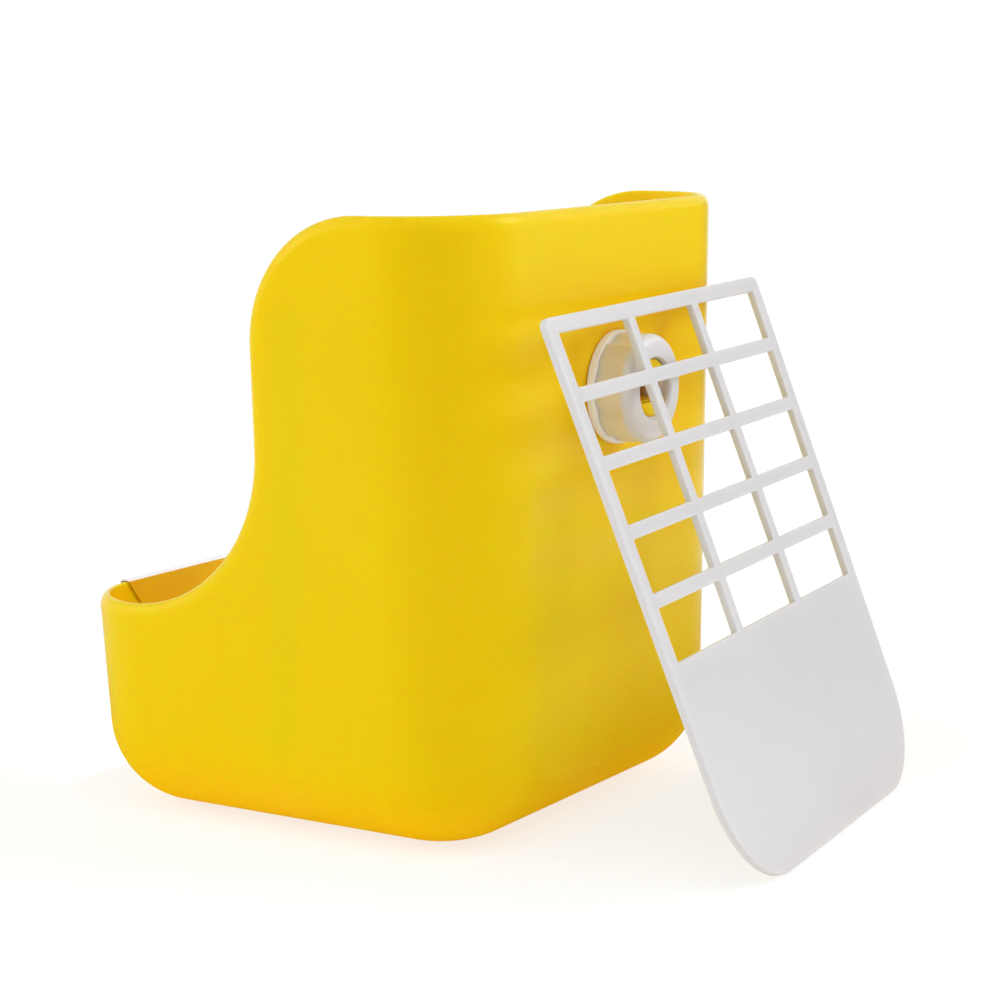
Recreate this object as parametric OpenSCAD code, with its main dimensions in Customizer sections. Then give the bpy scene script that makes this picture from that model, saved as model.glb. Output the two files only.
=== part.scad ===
// Hay feeder box for rabbits, guinea pigs and chinchillas, in millimetres, +Z up.
// One moulded tub holds a low food bowl in front (-Y) and a tall hay compartment behind it (+Y).
// The tub stands on the ground plane at z = 0, and the origin lies under its middle.
// The hay grille is shown lifted out: it stands behind the tub and leans on the hand nut.

/* [Tub] */
// Width of the tub across its top rim
tub_w = 157; // [140:1:180]
// Depth of the tub from the bowl's front rim to the back wall
tub_d = 143.4; // [125:0.2:165]
// Height of the tub at its back wall
tub_h = 175; // [160:1:195]
// Height of the bowl's rim
bowl_h = 63; // [52:0.2:72]
// Thickness of the moulded walls and of the floor
wall = 3; // [2.4:0.1:4]
// Plan radius of the two back corners
back_corner_r = 31.6; // [28:0.2:38]
// Plan radius of the two front corners
front_corner_r = 27; // [27:0.5:34]
// Radius where the side and back walls turn into the floor
base_r = 26.8; // [18:0.2:26.8]
// Outward slope of the side walls, in degrees
side_draft = 1.5; // [0.4:0.1:2.2]
// Outward slope of the back wall, in degrees
back_draft = 0.4; // [0.2:0.1:1.5]
// Outward slope of the front wall, in degrees
front_draft = 2.8; // [1:0.1:6]

/* [Side wall sweep] */
// Place of the sweep's upright part on Y, behind the tub's middle where positive
sweep_y = 0.2; // [-8:0.1:4]
// Radius of the rounded shoulder at the top of each side wall
shoulder_r = 36; // [24:1:44]
// Radius of the hollow that runs down to the bowl's rim
hollow_r = 47.9; // [34:0.1:54]

/* [Grille channel] */
// Distance of the channel behind the tub's middle, at ground level
channel_y = 4; // [2:0.5:8]
// Backward lean of the channel, in degrees
channel_lean = 4; // [2:0.5:6]
// Thickness of each guide rib
rib_t = 1.8; // [1.2:0.1:2.4]
// Height of each guide rib off the side wall
rib_h = 3; // [2:0.2:4]
// Height above ground where the guide ribs start
rib_z = 26; // [24:1:40]
// Distance of the ribs' tops below the tub's rim
rib_drop = 24; // [18:1:40]
// Free play of the grille between the ribs
channel_play = 0.6; // [0.4:0.1:1.2]

/* [Hay grille] */
// Thickness of the grille
grille_t = 2.3; // [1.8:0.1:3]
// Distance of the grille's top edge below the tub's rim when it is in its channel
grille_drop = 13.3; // [8:0.1:20]
// Free play between the grille's edge and the side wall, on each side
grille_play = 0.4; // [0.3:0.1:1]
// How far the solid foot of the grille stands above the bowl's rim
foot_over = 3.6; // [0:0.2:10]
// Corner radius at the grille's foot
grille_foot_r = 29; // [27:1:34]
// Corner radius at the grille's top
grille_top_r = 3; // [2:0.5:6]
// Width of the grille's edge bars
edge_bar = 5.6; // [4:0.1:7]
// Width of the two inner upright bars
upright_bar = 4.2; // [3:0.1:7]
// Distance between the centre lines of the inner upright bars
upright_step = 45.3; // [40:0.1:50]
// Height of each cross bar
cross_bar = 4; // [3:0.1:6]
// Height of the bar along the grille's top edge
top_bar = 4.4; // [2:0.1:6]
// Number of rows of windows
rows = 5; // [4:1:6]

/* [Grille at rest] */
// Lean of the grille against the hand nut, in degrees from upright
lean = 20.8; // [18:0.1:24]
// Turn of the leaning grille about the vertical, in degrees
turn = 5.8; // [2:0.1:8]
// Sideways shift of the grille along its own width
shift = -10.4; // [-12:0.2:-8]
// Gap between the leaning grille and the hand nut
lean_gap = 0.3; // [0.2:0.1:0.6]

/* [Screw clamp] */
// Sideways place of the threaded stud on the back wall
stud_x = 1.5; // [-6:0.5:6]
// Distance of the stud's axis below the tub's rim
stud_drop = 51; // [44:1:70]
// Diameter of the stud over its thread
stud_d = 17; // [14:0.2:18]
// Height of the slot that splits the stud
slot_h = 6; // [5:0.2:7]
// Distance of the stud's end behind the nut's face
stud_recess = 1; // [0.5:0.1:2]
// Radial play between the stud and the bore of the nut
nut_play = 0.1; // [0.05:0.01:0.1]
// Radial play between the stud and the bore of the washer
washer_play = 0.3; // [0.3:0.05:0.6]
// Outer diameter of the hand nut
nut_d = 30.6; // [28:0.2:38]
// Height of the hand nut
nut_t = 10.8; // [9:0.1:13]
// Radius of the nut's front edge
nut_edge_r = 2.8; // [1:0.2:3.4]
// Number of finger flutes around the nut
flutes = 8; // [6:1:10]
// Radius of each flute
flute_r = 6; // [5:0.5:8]
// Depth of each flute at the nut's rim
flute_depth = 0.9; // [0.6:0.1:1.6]
// Outer diameter of the clamp washer
washer_d = 32; // [30:0.2:40]
// Thickness of the clamp washer
washer_t = 2.4; // [1.6:0.1:3]
// Gap between pieces that touch on the real feeder
seat_gap = 0.1; // [0.05:0.01:0.2]

/* [Chew guard] */
// How far the guard's ends reach past the start of the front corners
guard_past = 1.2; // [0:0.1:1.4]
// Depth of the guard's legs
guard_leg = 9; // [5:0.5:12]
// How much shorter each leg is at its lower edge, at either end
guard_slant = 6; // [0:0.5:8]
// Thickness of the guard's sheet steel
guard_t = 0.5; // [0.4:0.1:0.8]

/* [Hidden] */

// Fragments of the hulled corners and of the exact round shapes
corner_fn = 32;
round_fn = 64;
// Reach of a cutting shape past the face that it cuts
past = 1;
// Depth to which a rib or the stud is sunk into its wall
sunk = 1;

// Outer half width, and outer back and front faces, at a height above ground
function half_w(z) = tub_w / 2 - (tub_h - z) * tan(side_draft);
function back_y(z) = tub_d / 2 - (tub_h - z) * tan(back_draft);
function front_y(z) = -tub_d / 2 + (bowl_h - z) * tan(front_draft);

// The grille fits the channel, so its size follows the tub
grille_h = tub_h - wall - grille_drop;
foot_h = bowl_h + foot_over - wall;
row_step = (grille_h - top_bar + cross_bar - foot_h) / rows;
function grille_half(h) = half_w(wall + h) - wall - grille_play;
channel_gap = grille_t + channel_play;

// Height of the stud's axis above ground, and the stations along it, measured on Y
stud_z = tub_h - stud_drop;
washer_y = back_y(stud_z + washer_d / 2) + seat_gap;
nut_y = washer_y + washer_t + seat_gap;
nut_face_y = nut_y + nut_t;
stud_end_y = nut_face_y - stud_recess;

// Bars of the leaning grille touch the nut's rounded front edge. That edge is a ball of nut_edge_r run
// round a flat disc of face_r, which lies nut_edge_r behind the nut's face.
// For a bar that covers the span from low to high, measured from the stud's axis, bar_reach gives how far
// the disc stands out towards it: slope along the span and skew across it are the grille's tilts.
face_r = nut_d / 2 - nut_edge_r;
function bar_reach(low, high, slope, skew) =
    let (spot = min(max(face_r * slope / norm([slope, skew]), low), high))
        abs(spot) > face_r ? -nut_d : slope * spot + skew * sqrt(face_r * face_r - spot * spot);
function level_reach(low, high) =
    let (axis = stud_z + nut_edge_r * sin(lean))
        bar_reach(low * cos(lean) - axis, high * cos(lean) - axis, sin(lean), sin(turn) * cos(lean));
function upright_reach(middle) =
    let (place = middle + nut_edge_r * sin(turn))
        bar_reach(-place - upright_bar / 2, -place + upright_bar / 2, sin(turn) * cos(lean), sin(lean));
level_reaches = [
    level_reach(0, foot_h),
    for (row = [1 : rows - 1]) level_reach(foot_h + row * row_step - cross_bar, foot_h + row * row_step),
    level_reach(grille_h - top_bar, grille_h),
];
upright_reaches = [for (side = [-1, 1]) upright_reach(shift + side * upright_step / 2)];

// Distance of the grille's foot from the nut's face, so that the bar which touches first just clears it
bar_gap = max(concat(level_reaches, upright_reaches)) + nut_edge_r + lean_gap;
foot_reach = (stud_z * sin(lean) + bar_gap) / cos(lean) - nut_edge_r * cos(turn);

// The guard covers the straight part of the bowl's front rim
guard_l = 2 * (half_w(bowl_h - guard_leg) - front_corner_r + guard_past);

// A round corner that stands on a flat: radius r in plan, radius e at its lower edge
module corner_foot(r, e) {
    rotate_extrude($fn = corner_fn) {
        square([r - e, e]);
        intersection() {
            translate([r - e, e]) circle(e, $fn = corner_fn);
            square([r, e]);
        }
    }
}

// The tub's filled form, drawn in on all walls by inset; top is the height of its upper end
module tub_form(inset, top) {
    edge = base_r - inset;
    back_r = back_corner_r - inset;
    front_r = front_corner_r - inset;
    hull() {
        for (side = [-1, 1]) {
            translate([side * (half_w(base_r) - back_corner_r), back_y(base_r) - back_corner_r, inset])
                corner_foot(back_r, edge);
            translate([side * (half_w(base_r) - front_corner_r), front_y(base_r) + front_corner_r, inset])
                corner_foot(front_r, edge);
            translate([side * (half_w(top) - back_corner_r), back_y(top) - back_corner_r, top - past])
                cylinder(r = back_r, h = past, $fn = corner_fn);
            translate([side * (half_w(top) - front_corner_r), front_y(top) + front_corner_r, top - past])
                cylinder(r = front_r, h = past, $fn = corner_fn);
        }
    }
}

// What the mould leaves open above the bowl, as a side view in Y and Z
module sweep_outline() {
    reach = tub_d;
    difference() {
        translate([sweep_y - reach, bowl_h]) square([reach, tub_h]);
        difference() {
            translate([sweep_y - hollow_r, bowl_h]) square(hollow_r);
            translate([sweep_y - hollow_r, bowl_h + hollow_r]) circle(hollow_r, $fn = round_fn);
        }
    }
    difference() {
        translate([sweep_y, tub_h - shoulder_r]) square([shoulder_r, shoulder_r + past]);
        translate([sweep_y + shoulder_r, tub_h - shoulder_r]) circle(shoulder_r, $fn = round_fn);
    }
}

module sweep_cut() {
    translate([-tub_w / 2 - past, 0, 0])
        rotate([90, 0, 90]) linear_extrude(tub_w + 2 * past) sweep_outline();
}

// One guide rib on the right wall; place is its distance from the channel's middle
module guide_rib(place) {
    rib_top = tub_h - rib_drop;
    translate([half_w(rib_z) - wall, channel_y + rib_z * tan(channel_lean), rib_z])
        rotate([-channel_lean, side_draft, 0])
            translate([-rib_h, place - rib_t / 2, 0]) cube([rib_h + sunk, rib_t, rib_top - rib_z]);
}

// The pair of ribs on both side walls that the grille slides between
module grille_channel() {
    step = (channel_gap + rib_t) / 2;
    for (side = [0, 1]) {
        mirror([side, 0, 0]) {
            guide_rib(-step);
            guide_rib(step);
        }
    }
}

// A shape along the stud's axis, with its own Z turned to point away from the back wall
module on_stud(y) {
    translate([stud_x, y, stud_z]) rotate([-90, 0, 0]) children();
}

// Stud moulded on the back wall; a cage wire can lie in its slot
module split_stud() {
    root_y = back_y(stud_z) - sunk;
    difference() {
        on_stud(root_y) cylinder(d = stud_d, h = stud_end_y - root_y, $fn = round_fn);
        translate([stud_x - stud_d, back_y(stud_z) + seat_gap, stud_z - slot_h / 2])
            cube([2 * stud_d, stud_end_y, slot_h]);
    }
}

module feeder_tub() {
    color("gold") {
        difference() {
            tub_form(0, tub_h);
            tub_form(wall, tub_h + past);
            sweep_cut();
        }
        grille_channel();
        split_stud();
    }
}

// Front view of the guard, whose legs get shorter downwards
module guard_outline() {
    top = guard_l / 2;
    foot = top - guard_slant;
    polygon([[-top, guard_t], [-top, 0], [-foot, -guard_leg], [foot, -guard_leg], [top, 0], [top, guard_t]]);
}

// Steel channel pressed over the bowl's front rim, tilted with the front wall
module chew_guard() {
    inner = wall * cos(front_draft) + 2 * seat_gap;
    color("silver")
        translate([0, -tub_d / 2, bowl_h]) rotate([front_draft, 0, 0])
            translate([0, -seat_gap, seat_gap]) difference() {
                translate([0, inner + guard_t, 0]) rotate([90, 0, 0])
                    linear_extrude(inner + 2 * guard_t) guard_outline();
                translate([-guard_l, 0, -guard_leg - past]) cube([2 * guard_l, inner, guard_leg + past]);
            }
}

// Cuts a round corner off the grille's foot on its right side
module foot_corner_cut() {
    rise = grille_foot_r * (1 + sin(side_draft));
    centre_x = grille_half(grille_foot_r) - grille_foot_r / cos(side_draft);
    difference() {
        translate([centre_x, -past]) square([grille_foot_r + past, rise + past]);
        translate([centre_x, grille_foot_r]) circle(grille_foot_r, $fn = round_fn);
    }
}

// Cuts a round corner off the grille's top on its right side
module top_corner_cut() {
    centre_x = grille_half(grille_h - grille_top_r) - grille_top_r / cos(side_draft);
    difference() {
        translate([centre_x, grille_h - grille_top_r]) square(grille_top_r + past);
        translate([centre_x, grille_h - grille_top_r]) circle(grille_top_r, $fn = round_fn);
    }
}

// Outline of the grille, standing on its foot: it widens upwards as the tub does
module grille_outline() {
    difference() {
        polygon([
            [-grille_half(0), 0], [grille_half(0), 0],
            [grille_half(grille_h), grille_h], [-grille_half(grille_h), grille_h],
        ]);
        for (side = [0, 1]) {
            mirror([side, 0]) {
                foot_corner_cut();
                top_corner_cut();
            }
        }
    }
}

// One row of three windows, between two heights
module window_row(low, high) {
    inner_x = (upright_step + upright_bar) / 2;
    translate([-(upright_step - upright_bar) / 2, low]) square([upright_step - upright_bar, high - low]);
    for (side = [0, 1]) {
        mirror([side, 0])
            polygon([
                [inner_x, low], [grille_half(low) - edge_bar, low],
                [grille_half(high) - edge_bar, high], [inner_x, high],
            ]);
    }
}

// The grille standing upright: back face at y = 0, foot at z = 0
module upright_grille() {
    translate([0, grille_t, 0]) rotate([90, 0, 0]) linear_extrude(grille_t) difference() {
        grille_outline();
        for (row = [0 : rows - 1]) {
            low = foot_h + row * row_step;
            window_row(low, low + row_step - cross_bar);
        }
    }
}

module hay_grille() {
    color("white")
        translate([stud_x, nut_face_y, 0]) rotate([0, 0, turn])
            translate([shift, foot_reach, 0]) rotate([lean, 0, 0]) upright_grille();
}

// Plain ring that the nut presses on the cage wires
module clamp_washer() {
    color("ivory") on_stud(washer_y) difference() {
        cylinder(d = washer_d, h = washer_t, $fn = round_fn);
        translate([0, 0, -past])
            cylinder(d = stud_d + 2 * washer_play, h = washer_t + 2 * past, $fn = round_fn);
    }
}

// One finger flute: it runs up from the nut's back and ends round below the front edge
module flute() {
    flute_top = nut_t - nut_edge_r - flute_r / 2;
    translate([nut_d / 2 - flute_depth + flute_r, 0, 0]) {
        translate([0, 0, -past]) cylinder(r = flute_r, h = flute_top + past, $fn = round_fn);
        translate([0, 0, flute_top]) sphere(r = flute_r, $fn = round_fn);
    }
}

module hand_nut() {
    color("ivory") on_stud(nut_y) difference() {
        rotate_extrude($fn = round_fn) difference() {
            translate([stud_d / 2 + nut_play, 0]) square([(nut_d - stud_d) / 2 - nut_play, nut_t]);
            translate([nut_d / 2 - nut_edge_r, nut_t - nut_edge_r]) difference() {
                square(nut_edge_r + past);
                circle(nut_edge_r, $fn = round_fn);
            }
        }
        for (turn_by = [0 : 360 / flutes : 359]) {
            rotate([0, 0, turn_by]) flute();
        }
    }
}

feeder_tub();
chew_guard();
hay_grille();
clamp_washer();
hand_nut();
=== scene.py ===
import bpy, bmesh, math
from mathutils import Matrix, Vector


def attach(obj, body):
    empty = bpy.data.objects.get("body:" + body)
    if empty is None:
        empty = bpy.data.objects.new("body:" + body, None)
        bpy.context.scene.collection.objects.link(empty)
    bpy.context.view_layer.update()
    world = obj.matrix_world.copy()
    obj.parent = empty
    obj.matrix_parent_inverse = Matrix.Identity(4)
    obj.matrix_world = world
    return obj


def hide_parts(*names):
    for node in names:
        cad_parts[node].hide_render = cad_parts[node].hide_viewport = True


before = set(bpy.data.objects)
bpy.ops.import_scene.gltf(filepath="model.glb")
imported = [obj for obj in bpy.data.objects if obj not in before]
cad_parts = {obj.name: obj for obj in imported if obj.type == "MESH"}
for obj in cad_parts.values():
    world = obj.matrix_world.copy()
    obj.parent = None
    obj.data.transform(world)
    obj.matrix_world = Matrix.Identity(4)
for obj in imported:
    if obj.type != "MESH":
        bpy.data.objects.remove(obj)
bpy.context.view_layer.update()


# Feeder tub. One injection moulding in glossy yellow polypropylene, 3 mm thick: a low food bowl in front
# and a tall hay box behind, joined by side walls that sweep down in an S. The rim is rounded over to the
# inside.
MM = 0.001
TUB_WIDTH, TUB_DEPTH, TUB_HEIGHT = 157.0, 143.4, 175.0
BOWL_HEIGHT = 63.0
WALL = 3.0
BACK_CORNER, FRONT_CORNER = 31.6, 27.0
BASE_RADIUS = 26.8
SIDE_SLOPE, BACK_SLOPE, FRONT_SLOPE = (math.tan(math.radians(a)) for a in (1.5, 0.4, 2.8))
SWEEP_Y, SHOULDER_RADIUS, HOLLOW_RADIUS = 0.2, 36.0, 47.9
RIM_ROLL_IN, RIM_ROLL_DOWN, RIM_INNER_EDGE = 2.3, 4.5, 0.7


def tub_side(z):
    return TUB_WIDTH / 2 - (TUB_HEIGHT - max(z, BASE_RADIUS)) * SIDE_SLOPE


def tub_back(z):
    return TUB_DEPTH / 2 - (TUB_HEIGHT - max(z, BASE_RADIUS)) * BACK_SLOPE


def tub_front(z):
    return -TUB_DEPTH / 2 + max(0.0, BOWL_HEIGHT - max(z, BASE_RADIUS)) * FRONT_SLOPE


def wall_point(place, z, inset):
    """A point of the tub's wall. place runs 0 to 5 from the middle of the front, over the front corner,
    the side, the back corner and the back, to the middle of the back; inset 0 is the outer skin."""
    radius = BASE_RADIUS - inset
    above = z - inset
    draw_in = inset
    if above < radius:
        draw_in += radius - math.sqrt(max(0.0, radius ** 2 - (radius - above) ** 2))
    part = min(int(place), 4)
    share = place - part
    side, back, front = tub_side(z), tub_back(z), tub_front(z)
    front_x, front_y = side - FRONT_CORNER, front + FRONT_CORNER
    back_x, back_y = side - BACK_CORNER, back - BACK_CORNER
    if part == 0:
        return Vector((share * front_x, front + draw_in, z))
    if part == 1:
        turn, reach = math.radians(90 * share), FRONT_CORNER - draw_in
        return Vector((front_x + reach * math.sin(turn), front_y - reach * math.cos(turn), z))
    if part == 2:
        return Vector((side - draw_in, front_y + share * (back_y - front_y), z))
    if part == 3:
        turn, reach = math.radians(90 * share), BACK_CORNER - draw_in
        return Vector((back_x + reach * math.cos(turn), back_y + reach * math.sin(turn), z))
    return Vector(((1 - share) * back_x, back - draw_in, z))


FRONT_STEPS, FRONT_CORNER_STEPS, HOLLOW_STEPS, UPRIGHT_STEPS = 12, 18, 32, 14
SHOULDER_STEPS, BACK_CORNER_STEPS, BACK_STEPS = 28, 20, 14


def rim_line():
    """The rim from the middle of the front to the middle of the back, as pairs of place and height."""
    line = [(i / FRONT_STEPS, BOWL_HEIGHT) for i in range(FRONT_STEPS)]
    for i in range(FRONT_CORNER_STEPS):
        place = 1 + i / FRONT_CORNER_STEPS
        into_hollow = max(0.0, wall_point(place, BOWL_HEIGHT, 0).y - SWEEP_Y + HOLLOW_RADIUS)
        climb = HOLLOW_RADIUS - math.sqrt(HOLLOW_RADIUS ** 2 - into_hollow ** 2)
        line.append((place, BOWL_HEIGHT + climb))
    sweep = []
    start = math.asin((wall_point(2, BOWL_HEIGHT, 0).y - SWEEP_Y + HOLLOW_RADIUS) / HOLLOW_RADIUS)
    for i in range(HOLLOW_STEPS):
        turn = start + (math.pi / 2 - start) * i / HOLLOW_STEPS
        sweep.append((SWEEP_Y - HOLLOW_RADIUS + HOLLOW_RADIUS * math.sin(turn),
                      BOWL_HEIGHT + HOLLOW_RADIUS - HOLLOW_RADIUS * math.cos(turn)))
    low, high = BOWL_HEIGHT + HOLLOW_RADIUS, TUB_HEIGHT - SHOULDER_RADIUS
    sweep += [(SWEEP_Y, low + (high - low) * i / UPRIGHT_STEPS) for i in range(UPRIGHT_STEPS)]
    for i in range(SHOULDER_STEPS):
        turn = math.pi / 2 * i / SHOULDER_STEPS
        sweep.append((SWEEP_Y + SHOULDER_RADIUS * (1 - math.cos(turn)),
                      high + SHOULDER_RADIUS * math.sin(turn)))
    sweep.append((SWEEP_Y + SHOULDER_RADIUS, TUB_HEIGHT))
    for y, z in sweep:
        first, last = wall_point(2, z, 0).y, wall_point(3, z, 0).y
        line.append((2 + (y - first) / (last - first), z))
    line += [(3 + i / BACK_CORNER_STEPS, TUB_HEIGHT) for i in range(BACK_CORNER_STEPS)]
    line += [(4 + i / BACK_STEPS, TUB_HEIGHT) for i in range(BACK_STEPS + 1)]
    return line


STRAIGHT_DROPS = (0.0, 2.0, 4.5)
BEND_SHARE, LONGEST_BEND = 0.4, 12.0
FOOT_SPREAD = 0.6
WALL_ROWS, FOOT_ROWS = 22, 24


def wall_column(index, line, inset):
    """One strip of the wall, as places and heights from below the rim's rounding to the tub's underside,
    and the rim's direction there. On the side walls it leaves the rim square and bends downwards."""
    place, height = line[index]
    before, after = line[max(index - 1, 0)], line[min(index + 1, len(line) - 1)]
    along = wall_point(after[0], after[1], 0) - wall_point(before[0], before[1], 0)
    rim_run = Vector((math.hypot(along.x, along.y), along.z)).normalized()
    if index in (0, len(line) - 1):
        rim_run = Vector((1.0, 0.0))
    foot_place, per_mm = place, 0.0
    if 2 <= place < 3:
        on_side = [i for i, (spot, _) in enumerate(line) if 2 <= spot < 3]
        foot_place = 2 + ((index - on_side[0]) / len(on_side)) ** FOOT_SPREAD
        per_mm = 1 / (wall_point(3, height, 0).y - wall_point(2, height, 0).y)

    def below(drop):
        return Vector((place + rim_run.y * drop * per_mm, height - rim_run.x * drop))

    rows = [below(RIM_ROLL_DOWN + drop) for drop in STRAIGHT_DROPS]
    first, foot = rows[-1], Vector((foot_place, BASE_RADIUS))
    reach = min(LONGEST_BEND, (first.y - BASE_RADIUS) * BEND_SHARE)
    bend = below(RIM_ROLL_DOWN + STRAIGHT_DROPS[-1] + reach)
    for i in range(1, WALL_ROWS + 1):
        share = i / WALL_ROWS
        rows.append(first * (1 - share) ** 2 + bend * (2 * share * (1 - share)) + foot * share ** 2)
    for i in range(FOOT_ROWS - 1, -1, -1):
        turn = math.radians(90 * i / FOOT_ROWS)
        rows.append(Vector((foot_place, inset + (BASE_RADIUS - inset) * (1 - math.cos(turn)))))
    return rows, rim_run


ROLL_STEPS, EDGE_STEPS = 8, 4


def tub_shell(mesh):
    """Fills mesh with the tub's shell: one strip for each point of the rim, on both sides."""
    line = rim_line()
    rings = []
    for index in range(len(line)):
        outer, rim_run = wall_column(index, line, 0.0)
        inner, _ = wall_column(index, line, WALL)
        place, height = line[index]
        tip = wall_point(place, height, 0.0)
        deeper = wall_point(place, height, WALL) - tip
        across = Vector((deeper.x, deeper.y, 0)).normalized()
        outward = Vector((-across.y * rim_run.y, across.x * rim_run.y, rim_run.x))
        strip = [wall_point(p, z, 0.0) for p, z in reversed(outer)]
        for i in range(1, ROLL_STEPS + 1):
            roll = math.radians(90 * i / ROLL_STEPS)
            strip.append(tip + across * RIM_ROLL_IN * (1 - math.cos(roll))
                         + outward * RIM_ROLL_DOWN * (math.sin(roll) - 1))
        edge = RIM_INNER_EDGE
        for i in range(1, EDGE_STEPS + 1):
            roll = math.radians(90 * i / EDGE_STEPS)
            strip.append(tip + across * (WALL - edge + edge * math.sin(roll))
                         - outward * edge * (1 - math.cos(roll)))
        strip += [wall_point(p, z, WALL) for p, z in inner]
        rings.append(strip)
    mirrored = [[Vector((-p.x, p.y, p.z)) for p in strip] for strip in rings[-2:0:-1]]
    strips = [[mesh.verts.new(p * MM) for p in strip] for strip in rings + mirrored]
    for i, strip in enumerate(strips):
        beside = strips[(i + 1) % len(strips)]
        for j in range(len(strip) - 1):
            mesh.faces.new((strip[j], beside[j], beside[j + 1], strip[j + 1]))
    mesh.faces.new([strip[0] for strip in reversed(strips)])
    mesh.faces.new([strip[-1] for strip in strips])


tub_mesh = bmesh.new()
tub_shell(tub_mesh)


def finished_piece(name, mesh, crease=math.radians(40)):
    """Turns a bmesh into a smooth-shaded object whose edges sharper than crease stay crisp."""
    data = bpy.data.meshes.new(name)
    bmesh.ops.recalc_face_normals(mesh, faces=mesh.faces)
    mesh.to_mesh(data)
    mesh.free()
    data.shade_smooth()
    data.set_sharp_from_angle(angle=crease)
    piece = bpy.data.objects.new(name, data)
    bpy.context.scene.collection.objects.link(piece)
    return piece


tub = finished_piece("tub_moulding", tub_mesh)


class Wire:
    """An output of a finish. Sums, products and powers of it add Math nodes; node() adds any other."""

    def __init__(self, tree, socket=None):
        self.tree, self.socket = tree, socket

    def node(self, kind, settings=None, sockets=None, out=0):
        made = self.tree.nodes.new(kind)
        for name, value in (settings or {}).items():
            setattr(made, name, value)
        for name, value in (sockets or {}).items():
            if isinstance(value, Wire):
                self.tree.links.new(value.socket, made.inputs[name])
            else:
                made.inputs[name].default_value = value
        return Wire(self.tree, made.outputs[out]) if len(made.outputs) else made

    def maths(self, operation, first, second):
        return self.node("ShaderNodeMath", {"operation": operation}, {0: first, 1: second})

    def __add__(self, other):
        return self.maths("ADD", self, other)

    def __mul__(self, other):
        return self.maths("MULTIPLY", self, other)

    def __pow__(self, other):
        return self.maths("POWER", self, other)

    __radd__, __rmul__ = __add__, __mul__


def new_finish(name):
    finish = bpy.data.materials.new(name)
    finish.use_nodes = True
    finish.node_tree.nodes.clear()
    return finish, Wire(finish.node_tree)


def paint(piece, finish):
    piece.data.materials.append(finish)


def mix_colour(start, share, one, other):
    return start.node("ShaderNodeMix", {"data_type": "RGBA"}, {0: share, 6: one, 7: other}, out=2)


def noise(place, scale, detail, rough):
    return place.node("ShaderNodeTexNoise", sockets={
        "Vector": place, "Scale": scale, "Detail": detail, "Roughness": rough})


def bump(relief, strength, depth, under=None):
    """The normal of a relief of the given depth in metres, on top of another relief if one is given."""
    sockets = {"Strength": strength, "Distance": depth, "Height": relief}
    if under:
        sockets["Normal"] = under
    return relief.node("ShaderNodeBump", sockets=sockets)


def cover_with(start, sockets):
    """Closes a finish with one principled surface."""
    surface = start.node("ShaderNodeBsdfPrincipled", sockets=sockets)
    start.node("ShaderNodeOutputMaterial", sockets={"Surface": surface})


# The tub's finish: glossy yellow with some light in the plastic, and a colour that turns deeper orange
# where little open sky
# reaches it, in hollows and by the floor: painted shade. A fine grain from the mould, faint clouds in
# colour and gloss, and a duller foot.
def yellow_plastic(name, reach):
    """The yellow finish under that name. reach is how far light gets inside it, in metres."""
    yellow, start = new_finish(name)
    place = start.node("ShaderNodeTexCoord", out="Object")
    height = start.node("ShaderNodeSeparateXYZ", sockets={"Vector": place}, out="Z")
    clouds = noise(place, 22.0, 3.0, 0.55)
    grain = noise(place, 2600.0, 2.0, 0.6)
    ripple = noise(place, 45.0, 1.0, 0.4)
    open_sky_for_painted_shade = start.node("ShaderNodeAmbientOcclusion", {"samples": 8}, {"Distance": 0.032}, out="AO")
    near_foot = start.node("ShaderNodeMapRange", sockets={
        "Value": height, "From Min": 0.03, "From Max": 0.0})
    lit = mix_colour(start, clouds, (0.790, 0.610, 0.0045, 1), (0.820, 0.645, 0.0070, 1))
    # Painted shade: where the ambient occlusion finds the sky closed, in hollows and next to the floor,
    # the colour goes deep orange.
    colour = mix_colour(start, open_sky_for_painted_shade ** 1.1, (0.980, 0.560, 0.001, 1), lit)
    gloss = 0.16 + clouds * 0.08 + near_foot * near_foot * 0.3
    bumps = bump(grain, 0.05, 0.0002)
    bumps = bump(ripple, 0.12, 0.0006, bumps)
    cover_with(start, {
        "Base Color": colour, "Roughness": gloss, "Normal": bumps, "IOR": 1.27,
        "Specular Tint": (1.0, 0.9, 0.15, 1), "Subsurface Weight": 1.0,
        "Subsurface Radius": (1.0, 0.3, 0.05), "Subsurface Scale": reach})
    return yellow


paint(tub, yellow_plastic("yellow_plastic", 0.006))
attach(tub, "tub")
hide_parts("feeder_tub")


# Guide ribs. Two low ribs inside each side wall are of one moulding with the tub, and the grille drops in
# between them. They lean back a little and end 24 mm below the rim. As light inside a mesh would stop at
# buried faces, they are a mesh of their own that runs 1 mm into the wall.
RIB_THICK, RIB_TALL, RIB_START, RIB_DROP = 1.8, 3.0, 26.0, 24.0
RIB_TIP_SHARE, RIB_TOP_SLOPE, RIB_BURIED, RIB_EDGE = 0.75, 1.6, 1.0, 0.45
CHANNEL_Y, CHANNEL_LEAN, CHANNEL_GAP = 4.0, math.radians(4.0), 2.9
rib_long = TUB_HEIGHT - RIB_DROP - RIB_START
rib_foot = (tub_side(RIB_START) - WALL, CHANNEL_Y + RIB_START * math.tan(CHANNEL_LEAN), RIB_START)
along_wall = (Matrix.Translation(rib_foot) @ Matrix.Rotation(math.atan(SIDE_SLOPE), 4, "Y")
              @ Matrix.Rotation(-CHANNEL_LEAN, 4, "X"))
ribs_mesh = bmesh.new()
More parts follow.
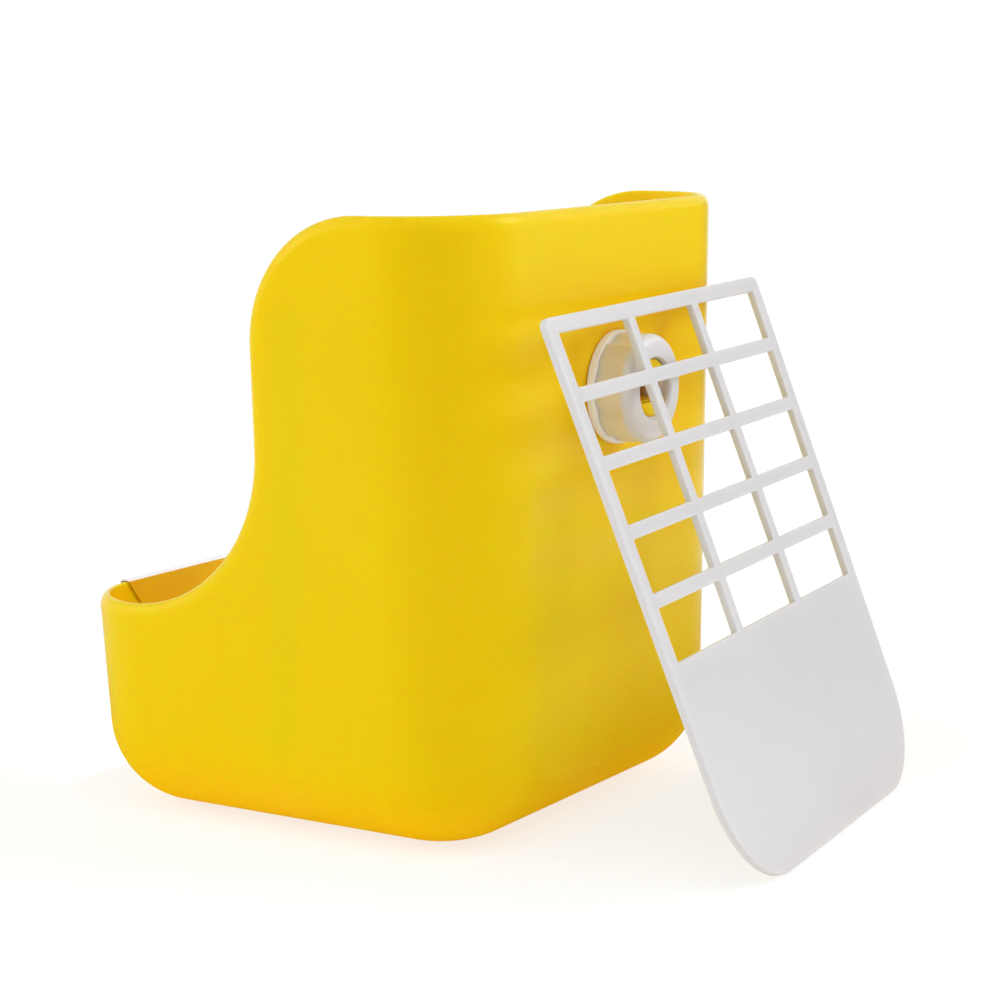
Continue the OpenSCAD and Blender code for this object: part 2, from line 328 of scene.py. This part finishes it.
for side in (1, -1):
    for off_middle in (-(CHANNEL_GAP + RIB_THICK) / 2, (CHANNEL_GAP + RIB_THICK) / 2):
        rib = bmesh.ops.create_cube(ribs_mesh, size=1.0)["verts"]
        for corner in rib:
            x, y, z = corner.co
            slim = RIB_TIP_SHARE if x < 0 else 1.0
            at = along_wall @ Vector((-RIB_TALL + (x + 0.5) * (RIB_TALL + RIB_BURIED),
                                      off_middle + y * RIB_THICK * slim, (z + 0.5) * rib_long))
            if z > 0 and x < 0:
                at.z -= RIB_TOP_SLOPE
            corner.co = Vector((at.x * side, at.y, at.z)) * MM
        edges = {e for v in rib for e in v.link_edges}
        if side < 0:
            bmesh.ops.reverse_faces(ribs_mesh, faces=list({f for v in rib for f in v.link_faces}))
        bmesh.ops.bevel(ribs_mesh, geom=list(edges), offset=RIB_EDGE * MM, segments=3, affect="EDGES")
ribs = finished_piece("tub_guide_ribs", ribs_mesh)
paint(ribs, yellow_plastic("yellow_ribs", 0.001))
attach(ribs, "tub")
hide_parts("feeder_tub")


# Split stud. Two prongs with a coarse right-hand thread, 4 mm to the turn, are moulded on the tub's back
# wall, and a cage wire lies in the slot between them. Each prong is a row of cut-off rounds that starts
# 1 mm inside the wall and ends rounded.
STUD_X, STUD_Z = 1.5, 124.0
STUD_RADIUS, THREAD_DEPTH, THREAD_PITCH, CREST_SHARPNESS = 8.45, 0.85, 4.0, 2.2
STUD_BURIED, STUD_END_EDGE, STUD_RECESS = 1.0, 0.9, 1.0
SLOT_HALF, SLOT_EDGE, SLOT_EDGE_IN, SLOT_MOUTH = 3.0, 0.25, 0.2, 0.5

# The stud is as long as what sits on it: the washer by the wall and then the nut, a hair apart.
SEAT_GAP, WASHER_RADIUS, WASHER_THICK, NUT_THICK = 0.1, 16.0, 2.4, 10.8
WASHER_Y = tub_back(STUD_Z + WASHER_RADIUS) + SEAT_GAP
NUT_Y = WASHER_Y + WASHER_THICK + SEAT_GAP
STUD_END = NUT_Y + NUT_THICK - STUD_RECESS


def thread_radius(turn, y, crest, root):
    """Radius of a rounded right-hand thread about the stud's axis. turn runs about +Y, from +Z to +X."""
    wave = math.cos(2 * math.pi * y / THREAD_PITCH - turn)
    squared = math.tanh(CREST_SHARPNESS * wave) / math.tanh(CREST_SHARPNESS)
    return root + (crest - root) * (0.5 + 0.5 * squared)


def stud_prong(mesh, lift):
    """One prong: lift is 1 for the upper one and -1 for the lower one."""
    start, steps, fan, flat = tub_back(STUD_Z) - STUD_BURIED, 56, 40, 10
    round_foot = SLOT_HALF + SLOT_EDGE
    low = math.asin(round_foot / STUD_RADIUS)
    sections = []
    for i in range(steps + 1):
        y = start + (STUD_END - start) * i / steps
        past = max(0.0, y - (STUD_END - STUD_END_EDGE))
        rounded = STUD_END_EDGE - math.sqrt(max(0.0, STUD_END_EDGE ** 2 - past ** 2))
        section = []
        for j in range(fan + 1):
            rise = low + (math.pi - 2 * low) * j / fan
            about = math.atan2(math.cos(rise), lift * math.sin(rise))
            radius = thread_radius(about, y, STUD_RADIUS, STUD_RADIUS - THREAD_DEPTH) - rounded
            section.append((radius * math.cos(rise), lift * max(radius * math.sin(rise), round_foot)))
        from_x, to_x = section[-1][0] + SLOT_EDGE_IN, section[0][0] - SLOT_EDGE_IN
        slot_side = SLOT_HALF + min(rounded, SLOT_MOUTH)
        for j in range(flat + 1):
            section.append((from_x + (to_x - from_x) * j / flat, lift * slot_side))
        sections.append([mesh.verts.new(Vector((STUD_X + x, y, STUD_Z + z)) * MM) for x, z in section])
    for a, b in zip(sections, sections[1:]):
        for j in range(len(a)):
            mesh.faces.new((a[j], a[(j + 1) % len(a)], b[(j + 1) % len(a)], b[j]))
    mesh.faces.new(sections[-1])
    mesh.faces.new(sections[0])


stud_mesh = bmesh.new()
stud_prong(stud_mesh, 1)
stud_prong(stud_mesh, -1)
stud = finished_piece("tub_split_stud", stud_mesh)
paint(stud, yellow_plastic("yellow_stud", 0.001))
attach(stud, "tub")
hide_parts("feeder_tub")


# Chew guard. A strip of bright stainless sheet, half a millimetre thick, bent to a channel and pressed
# over the middle of the bowl's front rim so that teeth meet steel there.
GUARD_LONG, GUARD_LEG, GUARD_SLANT, SHEET = 99.0, 9.0, 6.0, 0.5
GUARD_PLAY, OUTER_BEND, INNER_BEND = 0.1, 2.4, 0.9
GUARD_INNER = WALL * math.cos(math.atan(FRONT_SLOPE)) + 2 * GUARD_PLAY
LEG_ROWS, OUTER_ROW_STEP, INNER_ROW_START, BEND_STEPS, CUTS = 5, 1.2, 1.6, 8, 12


def bent_path():
    """The sheet's middle line across the rim: down the outside, over the top and down the inside."""
    half = SHEET / 2
    left, right, top = -GUARD_PLAY - half, GUARD_INNER - GUARD_PLAY + half, GUARD_PLAY + half
    path = [(left, GUARD_PLAY - GUARD_LEG + OUTER_ROW_STEP * i) for i in range(LEG_ROWS)]
    bends = ((left + OUTER_BEND, OUTER_BEND, 180), (right - INNER_BEND, INNER_BEND, 90))
    for centre, radius, begin in bends:
        for i in range(BEND_STEPS + 1):
            turn = math.radians(begin - 90 * i / BEND_STEPS)
            path.append((centre + radius * math.cos(turn), top - radius + radius * math.sin(turn)))
    row_step = (GUARD_LEG - INNER_ROW_START) / (LEG_ROWS - 1)
    return path + [(right, -INNER_ROW_START - row_step * i) for i in range(LEG_ROWS)]


path = bent_path()
rows = []
for i, (y, z) in enumerate(path):
    back, ahead = path[max(i - 1, 0)], path[min(i + 1, len(path) - 1)]
    along = Vector((ahead[0] - back[0], ahead[1] - back[1])).normalized()
    rows.append([(y - along.y * s * SHEET / 2, z + along.x * s * SHEET / 2) for s in (1, -1)])
tilt = (Matrix.Translation((0, -TUB_DEPTH / 2, BOWL_HEIGHT))
        @ Matrix.Rotation(math.atan(FRONT_SLOPE), 4, "X"))
cuts = [i / CUTS - 1 for i in range(2 * CUTS + 1)]
guard_mesh = bmesh.new()


def guard_skin(side):
    """One side of the sheet as rows of points. The legs get shorter downwards."""
    skin = []
    for row in rows:
        y, z = row[side]
        half = GUARD_LONG / 2 + min(0.0, z) * GUARD_SLANT / GUARD_LEG
        skin.append([guard_mesh.verts.new((tilt @ Vector((cut * half, y, z))) * MM) for cut in cuts])
    return skin


skins = [guard_skin(0), guard_skin(1)]
for skin in skins:
    for a, b in zip(skin, skin[1:]):
        for j in range(len(cuts) - 1):
            guard_mesh.faces.new((a[j], a[j + 1], b[j + 1], b[j]))
top_skin, under_skin = skins
for i in range(len(rows) - 1):
    for j in (0, -1):
        guard_mesh.faces.new((top_skin[i][j], top_skin[i + 1][j], under_skin[i + 1][j], under_skin[i][j]))
for i in (0, -1):
    for j in range(len(cuts) - 1):
        guard_mesh.faces.new((top_skin[i][j], top_skin[i][j + 1], under_skin[i][j + 1], under_skin[i][j]))
guard = finished_piece("chew_guard_sheet", guard_mesh, crease=math.radians(50))
steel, start = new_finish("bright_sheet_steel")
place = start.node("ShaderNodeTexCoord", out="Object")
drawn = start.node("ShaderNodeMapping", sockets={"Vector": place, "Scale": (30.0, 4000.0, 4000.0)})
brush = noise(drawn, 1.0, 3.0, 0.6)
stains = noise(place, 90.0, 2.0, 0.5)
colour = mix_colour(start, stains, (0.84, 0.82, 0.82, 1), (0.92, 0.90, 0.90, 1))
bumps = bump(brush, 0.12, 0.0001)
cover_with(start, {
    "Base Color": colour, "Roughness": 0.16 + brush * 0.10 + stains * 0.06, "Normal": bumps,
    "Metallic": 1.0})
paint(guard, steel)
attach(guard, "tub")
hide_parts("chew_guard")


# Clamp washer. A plain ring of natural, slightly milky plastic on the stud, against the back wall.
# Its edges are rounded by the mould. The nut presses it on the wires of the cage.
WASHER_BORE, WASHER_EDGES, WASHER_STEPS = 8.8, (0.2, 0.5, 0.15, 0.2), 128


def turned_ring(mesh, outline, steps, shape=None):
    """Turns a closed outline of (radius, y) about the stud's axis; shape may change each radius."""
    loops = []
    for i in range(steps):
        turn = 2 * math.pi * i / steps
        loop = []
        for radius, y in outline:
            r = shape(turn, radius, y) if shape else radius
            at = Vector((STUD_X + r * math.sin(turn), y, STUD_Z + r * math.cos(turn)))
            loop.append(mesh.verts.new(at * MM))
        loops.append(loop)
    for i, a in enumerate(loops):
        b = loops[(i + 1) % steps]
        for j in range(len(a)):
            k = (j + 1) % len(a)
            mesh.faces.new((a[j], b[j], b[k], a[k]))


def rounded_outline(inner, outer, low, high, edges, steps=5):
    """A cross-section with its four corners rounded: edges are the radii at inner low, outer low,
    outer high and inner high."""
    outline = []
    spots = ((inner, low, edges[0], 180), (outer, low, edges[1], 270),
             (outer, high, edges[2], 0), (inner, high, edges[3], 90))
    for radius, y, edge, begin in spots:
        middle_r = radius + edge if radius == inner else radius - edge
        middle_y = y + edge if y == low else y - edge
        for i in range(steps + 1):
            turn = math.radians(begin + 90 * i / steps)
            outline.append((middle_r + edge * math.cos(turn), middle_y + edge * math.sin(turn)))
    return outline


washer_mesh = bmesh.new()
washer_outline = rounded_outline(
    WASHER_BORE, WASHER_RADIUS, WASHER_Y, WASHER_Y + WASHER_THICK, WASHER_EDGES)
turned_ring(washer_mesh, washer_outline, WASHER_STEPS)
washer = finished_piece("clamp_washer_ring", washer_mesh)
milky, start = new_finish("milky_plastic")
place = start.node("ShaderNodeTexCoord", out="Object")
clouds = noise(place, 140.0, 3.0, 0.5)
grain = noise(place, 3000.0, 2.0, 0.6)
bumps = bump(grain, 0.06, 0.0002)
cover_with(start, {
    "Base Color": mix_colour(start, clouds, (0.96, 0.90, 0.87, 1), (0.98, 0.93, 0.91, 1)),
    "Roughness": 0.30 + clouds * 0.10, "Normal": bumps, "IOR": 1.49, "Subsurface Weight": 0.5,
    "Subsurface Radius": (1.0, 0.8, 0.6), "Subsurface Scale": 0.002})
paint(washer, milky)
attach(washer, "washer")
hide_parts("clamp_washer")


# Hand nut. A short ivory nut on the stud with eight soft finger flutes that end round below the flat front
# face, and a coarse thread inside that runs with the stud's. It is moulded in a translucent plastic.
NUT_RADIUS, NUT_BORE, NUT_THREAD, THREAD_BAND = 15.3, 8.6, 0.85, 0.4
THREAD_START, THREAD_STOP, THREAD_RUN_OUT = 0.5, 0.9, 0.8
FLUTES, FLUTE_RADIUS, FLUTE_DEPTH, FLUTE_SOFT, FLUTE_BAND = 8, 6.0, 0.9, 0.12, 0.3
NUT_EDGE, NUT_BACK_EDGE, BORE_EDGE = 2.8, 0.25, 0.35
NUT_CORNER_STEPS, NUT_SIDE_STEPS, NUT_FACE_STEPS, NUT_BORE_STEPS, NUT_STEPS = 6, 20, 5, 40, 256


def rising(value, length):
    """0 to 1 while value goes from 0 to length."""
    return min(1.0, max(0.0, value / length))


def nut_radius(turn, radius, y):
    """Presses the flutes into the nut's side, and the thread into its bore."""
    if radius < NUT_BORE + THREAD_BAND:
        full = (rising(NUT_Y + NUT_THICK - THREAD_STOP - y, THREAD_RUN_OUT)
                * rising(y - NUT_Y - THREAD_START, THREAD_RUN_OUT))
        return radius - (NUT_BORE - thread_radius(turn, y, NUT_BORE, NUT_BORE - NUT_THREAD)) * full
    step = 2 * math.pi / FLUTES
    off = (turn % step) - step / 2
    centre = NUT_RADIUS - FLUTE_DEPTH + FLUTE_RADIUS
    flute_top = NUT_Y + NUT_THICK - NUT_EDGE - FLUTE_RADIUS / 2
    reach = FLUTE_RADIUS ** 2 - max(0.0, y - flute_top) ** 2
    across = centre * math.sin(off)
    if reach <= across * across:
        return radius
    floor = centre * math.cos(off) - math.sqrt(reach - across * across)
    depth = radius - floor
    if depth <= -FLUTE_BAND:
        return radius
    return radius - (depth + math.sqrt(depth * depth + FLUTE_SOFT * FLUTE_SOFT)) / 2


def nut_outline():
    """Cross-section of the nut, with many points along the bore and the side."""
    low, high = NUT_Y, NUT_Y + NUT_THICK
    edges = (BORE_EDGE, NUT_BACK_EDGE, NUT_EDGE, BORE_EDGE)
    corners = rounded_outline(NUT_BORE + BORE_EDGE, NUT_RADIUS, low, high, edges, NUT_CORNER_STEPS)
    each = NUT_CORNER_STEPS + 1
    inner_low, outer_low, outer_high, inner_high = (corners[i * each:(i + 1) * each] for i in range(4))
    side_foot, side_top = outer_low[-1][1], outer_high[0][1]
    side = [(NUT_RADIUS, side_foot + (side_top - side_foot) * i / NUT_SIDE_STEPS)
            for i in range(1, NUT_SIDE_STEPS)]
    face_rim, face_bore = outer_high[-1][0], inner_high[0][0]
    face = [(face_rim + (face_bore - face_rim) * i / NUT_FACE_STEPS, high)
            for i in range(1, NUT_FACE_STEPS)]
    bore_top, bore_foot = inner_high[-1][1], inner_low[0][1]
    bore = [(NUT_BORE, bore_top + (bore_foot - bore_top) * i / NUT_BORE_STEPS)
            for i in range(1, NUT_BORE_STEPS)]
    return inner_low + outer_low + side + outer_high + face + inner_high + bore


nut_mesh = bmesh.new()
turned_ring(nut_mesh, nut_outline(), NUT_STEPS, nut_radius)
nut = finished_piece("hand_nut_moulding", nut_mesh, crease=math.radians(60))
ivory, start = new_finish("ivory_plastic")
place = start.node("ShaderNodeTexCoord", out="Object")
clouds = noise(place, 110.0, 3.0, 0.5)
grain = noise(place, 3000.0, 2.0, 0.6)
bumps = bump(grain, 0.06, 0.0002)
along = start.node("ShaderNodeSeparateXYZ", sockets={"Vector": place}, out="Y")

# The nut's side is painted tan with the warm light that the yellow tub throws on it, and its rounded front
# edge and face a cool grey darker than ivory: painted shade.
WARM_SIDE_BEFORE, SHADE_FACE_AFTER = 0.6, 0.5
edge_start = NUT_Y + NUT_THICK - NUT_EDGE
painted_side_to_face = start.node("ShaderNodeMapRange", sockets={
    "Value": along, "From Min": (edge_start - WARM_SIDE_BEFORE) * MM,
    "From Max": (edge_start + SHADE_FACE_AFTER) * MM})
tan = mix_colour(start, clouds, (0.79, 0.68, 0.50, 1), (0.83, 0.73, 0.56, 1))
painted_shade_face = mix_colour(start, clouds, (0.69, 0.67, 0.67, 1), (0.73, 0.71, 0.71, 1))
cover_with(start, {
    "Base Color": mix_colour(start, painted_side_to_face, tan, painted_shade_face),
    "Roughness": 0.28 + clouds * 0.10, "Normal": bumps, "IOR": 1.49, "Subsurface Weight": 0.5,
    "Subsurface Radius": (1.0, 0.8, 0.5), "Subsurface Scale": 0.006})
paint(nut, ivory)
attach(nut, "nut")
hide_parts("hand_nut")


# Hay grille. A flat plate of satin white plastic with five rows of three windows over a solid foot with
# large round corners. It has been lifted out and leans on the nut, standing on the back edge of its foot.
GRILLE_THICK, GRILLE_HIGH, FOOT_HIGH = 2.3, 158.7, 63.6
FOOT_CORNER, TOP_CORNER, WINDOW_CORNER = 29.0, 3.0, 0.7
FOOT_CORNER_STEPS, TOP_CORNER_STEPS, WINDOW_CORNER_STEPS, PLATE_EDGE_STEPS = 24, 8, 3, 3
EDGE_BAR, UPRIGHT_BAR, UPRIGHT_STEP = 5.6, 4.2, 45.3
CROSS_BAR, TOP_BAR, ROWS = 4.0, 4.4, 5
LEAN, TURN, SHIFT = math.radians(20.8), math.radians(5.8), -10.4
FOOT_REACH, PLAY, PLATE_EDGE = 50.785, 0.4, 0.45


def grille_half(height):
    """Half the grille's width: the tub's inside at that height, less the play it drops in with."""
    return tub_side(WALL + height) - WALL - PLAY


def arc(x, y, radius, begin, end, steps):
    turns = [math.radians(begin + (end - begin) * i / steps) for i in range(steps + 1)]
    return [(x + radius * math.cos(turn), y + radius * math.sin(turn)) for turn in turns]


foot_x = grille_half(FOOT_CORNER) - FOOT_CORNER
top_x = grille_half(GRILLE_HIGH - TOP_CORNER) - TOP_CORNER
right_edge = (arc(foot_x, FOOT_CORNER, FOOT_CORNER, 270, 360, FOOT_CORNER_STEPS)
              + arc(top_x, GRILLE_HIGH - TOP_CORNER, TOP_CORNER, 0, 90, TOP_CORNER_STEPS))
loops = [right_edge + [(-x, y) for x, y in reversed(right_edge)]]
row_step = (GRILLE_HIGH - TOP_BAR + CROSS_BAR - FOOT_HIGH) / ROWS
middle_x, inner_x = (UPRIGHT_STEP - UPRIGHT_BAR) / 2, (UPRIGHT_STEP + UPRIGHT_BAR) / 2
r, steps = WINDOW_CORNER, WINDOW_CORNER_STEPS
for row in range(ROWS):
    low, high = FOOT_HIGH + row * row_step, FOOT_HIGH + (row + 1) * row_step - CROSS_BAR
    for left_low, right_low, left_high, right_high in (
            (-middle_x, middle_x, -middle_x, middle_x),
            (inner_x, grille_half(low) - EDGE_BAR, inner_x, grille_half(high) - EDGE_BAR),
            (EDGE_BAR - grille_half(low), -inner_x, EDGE_BAR - grille_half(high), -inner_x)):
        loops.append(arc(left_low + r, low + r, r, 180, 270, steps)
                     + arc(right_low - r, low + r, r, 270, 360, steps)
                     + arc(right_high - r, high - r, r, 0, 90, steps)
                     + arc(left_high + r, high - r, r, 90, 180, steps))
plate = bpy.data.curves.new("grille_plate", "CURVE")
plate.dimensions, plate.fill_mode = "2D", "BOTH"
plate.extrude, plate.offset = (GRILLE_THICK / 2 - PLATE_EDGE) * MM, -PLATE_EDGE * MM
plate.bevel_depth, plate.bevel_resolution = PLATE_EDGE * MM, PLATE_EDGE_STEPS
for loop in loops:
    spline = plate.splines.new("POLY")
    spline.points.add(len(loop) - 1)
    for point, (x, y) in zip(spline.points, loop):
        point.co = (x * MM, y * MM, 0, 1)
    spline.use_cyclic_u = True
drawn_plate = bpy.data.objects.new("grille_plate", plate)
bpy.context.scene.collection.objects.link(drawn_plate)
bpy.context.view_layer.update()
thick_plate = drawn_plate.evaluated_get(bpy.context.evaluated_depsgraph_get())
plate_mesh = bpy.data.meshes.new_from_object(thick_plate)
bpy.data.objects.remove(drawn_plate)
grille_mesh = bmesh.new()
grille_mesh.from_mesh(plate_mesh)
bmesh.ops.remove_doubles(grille_mesh, verts=grille_mesh.verts, dist=0.01 * MM)
stand = (Matrix.Translation(Vector((STUD_X, NUT_Y + NUT_THICK, 0)) * MM) @ Matrix.Rotation(TURN, 4, "Z")
         @ Matrix.Translation(Vector((SHIFT, FOOT_REACH, 0)) * MM) @ Matrix.Rotation(LEAN, 4, "X")
         @ Matrix.Translation((0, GRILLE_THICK / 2 * MM, 0)) @ Matrix.Rotation(math.pi / 2, 4, "X"))
bmesh.ops.transform(grille_mesh, matrix=stand, verts=grille_mesh.verts)
grille = finished_piece("hay_grille_plate", grille_mesh, crease=math.radians(35))
white, start = new_finish("satin_white_plastic")
place = start.node("ShaderNodeTexCoord", out="Object")
clouds = noise(place, 35.0, 3.0, 0.5)
grain = noise(place, 2200.0, 2.0, 0.6)
ripple = noise(place, 70.0, 1.0, 0.4)
bumps = bump(grain, 0.08, 0.0002)
bumps = bump(ripple, 0.10, 0.0006, bumps)
cover_with(start, {
    "Base Color": mix_colour(start, clouds, (0.620, 0.615, 0.635, 1), (0.655, 0.650, 0.670, 1)),
    "Roughness": 0.36 + clouds * 0.12, "Normal": bumps, "IOR": 1.49, "Subsurface Weight": 0.7,
    "Subsurface Radius": (1.0, 0.95, 0.9), "Subsurface Scale": 0.004})
paint(grille, white)
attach(grille, "grille")
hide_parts("hay_grille")


# Photo table. A large white sheet, lit from below, that the feeder stands on. The camera sees it glow with
# only a faint shadow.
# Reflections find it dark orange close to the tub, a painted shadow and painted warm light from the yellow
# plastic, and white further out, and all other light meets a plain sheet of white paper.
TABLE_HALF, TABLE_BELOW = 4.0, 0.0003
table_mesh = bmesh.new()
bmesh.ops.create_grid(table_mesh, x_segments=2, y_segments=2, size=TABLE_HALF)
table = finished_piece("photo_table", table_mesh)
table.location.z = -TABLE_BELOW
sheet, start = new_finish("white_sheet")


def rays_of(start, *kinds):
    """1 for the named kinds of ray, such as Camera, and 0 for all others."""
    total = start.node("ShaderNodeLightPath", out="Is %s Ray" % kinds[0])
    for kind in kinds[1:]:
        total = total + start.node("ShaderNodeLightPath", out="Is %s Ray" % kind)
    return start.maths("MINIMUM", total, 1.0)


def fade(value, start_at, end_at):
    """A soft step of value, from 0 to 1."""
    return value.node("ShaderNodeMapRange", {"interpolation_type": "SMOOTHSTEP"},
                      {"Value": value, "From Min": start_at, "From Max": end_at})


place = start.node("ShaderNodeTexCoord", out="Object")
fibre = noise(place, 300.0, 2.0, 0.5)
paper = start.node("ShaderNodeBsdfPrincipled", sockets={
    "Base Color": mix_colour(start, fibre, (0.69, 0.69, 0.69, 1), (0.72, 0.72, 0.72, 1)),
    "Roughness": 0.9})
from_below = start.node("ShaderNodeEmission", sockets={"Color": (1, 1, 1, 1), "Strength": 0.37})
lit_table = start.node("ShaderNodeAddShader", sockets={0: paper, 1: from_below})
faint = start.node("ShaderNodeBsdfDiffuse", sockets={"Color": (0.36, 0.36, 0.36, 1)})
glow = start.node("ShaderNodeEmission", sockets={"Color": (1, 1, 1, 1), "Strength": 0.70})
shown = start.node("ShaderNodeAddShader", sockets={0: faint, 1: glow})
# Painted shadow for reflections: close to the tub the mirrored sheet turns dark orange and its glow fades
# out.
away = start.node("ShaderNodeVectorMath", {"operation": "LENGTH"}, {0: place}, out="Value")
beyond_painted_shadow = fade(away, 0.05, 0.5)
painted_shadow_paper = start.node("ShaderNodeBsdfDiffuse", sockets={
    "Color": mix_colour(start, beyond_painted_shadow, (0.62, 0.34, 0.02, 1), (0.70, 0.70, 0.70, 1))})
glow_beyond_painted_shadow = start.node("ShaderNodeEmission", sockets={
    "Color": mix_colour(start, beyond_painted_shadow, (0, 0, 0, 1), (1, 1, 1, 1)), "Strength": 0.2})
mirrored = start.node("ShaderNodeAddShader", sockets={0: painted_shadow_paper, 1: glow_beyond_painted_shadow})
unseen = start.node("ShaderNodeMixShader", sockets={
    0: rays_of(start, "Glossy", "Transmission"), 1: lit_table, 2: mirrored})
seen = start.node("ShaderNodeMixShader", sockets={0: rays_of(start, "Camera"), 1: unseen, 2: shown})
start.node("ShaderNodeOutputMaterial", sockets={"Surface": seen})
paint(table, sheet)


# Dark flag. A curved screen of thin black cloth, 0.65 m away, from beside the tub round behind it to its
# other side. Only reflections see it, as the soft dark bands on the glossy back corner and back wall.
FLAG_AWAY, FLAG_HIGH = 0.65, 0.30
FLAG_FROM, FLAG_STEP, FLAG_PANELS = -20, 2, 105
flag_mesh = bmesh.new()
turns = [math.radians(FLAG_FROM + FLAG_STEP * i) for i in range(FLAG_PANELS + 1)]
round_line = [(FLAG_AWAY * math.cos(turn), FLAG_AWAY * math.sin(turn)) for turn in turns]
foot_edge, top_edge = ([flag_mesh.verts.new((x, y, z)) for x, y in round_line] for z in (0.0, FLAG_HIGH))
for i in range(FLAG_PANELS):
    flag_mesh.faces.new((foot_edge[i], foot_edge[i + 1], top_edge[i + 1], top_edge[i]))
flag = finished_piece("dark_flag", flag_mesh)
cloth, start = new_finish("flag_cloth")
spot = start.node("ShaderNodeTexCoord", out="Object")
to_right, to_back, rise = (
    start.node("ShaderNodeSeparateXYZ", sockets={"Vector": spot}, out=i) for i in range(3))

# The cloth is dense in three stretches, told in degrees round from the tub's right side.
round_to = start.maths("ARCTAN2", to_back, to_right) * (180 / math.pi)
wide = fade(round_to, -14.0, -6.0) * fade(round_to, 78.0, 60.0)
narrow = fade(round_to, 84.0, 92.0) * fade(round_to, 104.0, 94.0) * 0.6
behind = fade(round_to, 136.0, 140.0) * 0.45 + fade(round_to, 145.2, 146.2) * 0.4
weave = noise(spot, 30.0, 2.0, 0.5)
upright = fade(rise, 0.0, 0.05) * fade(rise, FLAG_HIGH, FLAG_HIGH * 0.7)
cover = (wide + narrow + behind) * upright * (0.9 + weave * 0.2)
clear = start.node("ShaderNodeBsdfTransparent", sockets={"Color": (1, 1, 1, 1)})
black = start.node("ShaderNodeBsdfDiffuse", sockets={"Color": (0.02, 0.02, 0.02, 1)})
start.node("ShaderNodeOutputMaterial", sockets={
    "Surface": start.node("ShaderNodeMixShader", sockets={0: cover, 1: clear, 2: black})})
paint(flag, cloth)
flag.visible_camera = flag.visible_diffuse = flag.visible_shadow = flag.visible_transmission = False


# Room. White all round for the camera, in reflections and through clear things, and dimmer where it only
# lights the feeder.
world = bpy.data.worlds.new("studio")
bpy.context.scene.world = world
world.use_nodes = True
world.node_tree.nodes.clear()
start = Wire(world.node_tree)
room = start.node("ShaderNodeBackground", sockets={"Color": (1, 1, 1, 1), "Strength": 0.46})
backdrop = start.node("ShaderNodeBackground", sockets={"Color": (1, 1, 1, 1), "Strength": 1.0})
in_sight = rays_of(start, "Camera", "Glossy", "Transmission")
start.node("ShaderNodeOutputWorld", sockets={
    "Surface": start.node("ShaderNodeMixShader", sockets={0: in_sight, 1: room, 2: backdrop})})


# Lamps. Three broad far ones light the feeder: from the front right, from behind on the left, and from
# high on the camera's side. A small soft box beside the bowl makes the front of the side wall a little
# lighter, and a small soft spot above the hay box looks down into the food bowl.
def far_lamp(name, strength, spread, towards, above):
    """A lamp so far off that it lights everything alike; spread is how wide it looks from the feeder."""
    lamp = bpy.data.lights.new(name, "SUN")
    lamp.energy, lamp.angle = strength, math.radians(spread)
    far = bpy.data.objects.new(name, lamp)
    turn, rise = math.radians(towards), math.radians(above)
    beam = Vector((math.cos(turn) * math.cos(rise), math.sin(turn) * math.cos(rise), math.sin(rise)))
    far.rotation_euler = beam.to_track_quat("Z", "Y").to_euler()
    bpy.context.scene.collection.objects.link(far)


def near_lamp(name, lamp, spot, target):
    """Hangs a lamp at spot so that it shines at target."""
    near = bpy.data.objects.new(name, lamp)
    near.location = spot
    near.rotation_euler = (near.location - Vector(target)).to_track_quat("Z", "Y").to_euler()
    bpy.context.scene.collection.objects.link(near)


far_lamp("side_lamp", strength=0.59, spread=60.0, towards=-42.0, above=32.0)
far_lamp("back_lamp", strength=1.14, spread=30.0, towards=126.0, above=30.0)
far_lamp("top_lamp", strength=0.62, spread=50.0, towards=48.0, above=56.0)
soft_box = bpy.data.lights.new("near_box", "AREA")
soft_box.shape, soft_box.size, soft_box.energy = "SQUARE", 0.3, 0.45
near_lamp("near_box", soft_box, spot=(0.42, -0.45, 0.34), target=(0.05, -0.02, 0.08))
bowl_light = bpy.data.lights.new("bowl_spot", "SPOT")
bowl_light.energy, bowl_light.shadow_soft_size = 14.0, 0.02
bowl_light.spot_size, bowl_light.spot_blend = math.radians(22), 0.9
near_lamp("bowl_spot", bowl_light, spot=(0.02, 0.04, 0.42), target=(-0.02, -0.06, 0.045))


# Camera. It stands at the photograph's place: 0.78 m from the middle of the tub, behind it to the right,
# 9 degrees above level, and rolled by less than one degree.
CAMERA_SPOT, CAMERA_LOOK = (0.63372, 0.43644, 0.21045), (-0.83195, -0.53118, -0.16032)
CAMERA_ROLL, CAMERA_LENS = math.radians(-0.7337), 93.872
camera = bpy.data.objects.new("camera", bpy.data.cameras.new("camera"))
bpy.context.scene.collection.objects.link(camera)
camera.data.sensor_width, camera.data.lens = 36.0, CAMERA_LENS
look = Vector(CAMERA_LOOK).normalized()
right = look.cross(Vector((0, 0, 1))).normalized()
up = right.cross(look)
level = Matrix((right, up, -look)).transposed().to_4x4()
camera.matrix_world = Matrix.Translation(CAMERA_SPOT) @ level @ Matrix.Rotation(CAMERA_ROLL, 4, "Z")
camera.data.clip_start, camera.data.clip_end = 0.01, 50
bpy.context.scene.camera = camera
bpy.context.scene.view_settings.view_transform = "Standard"
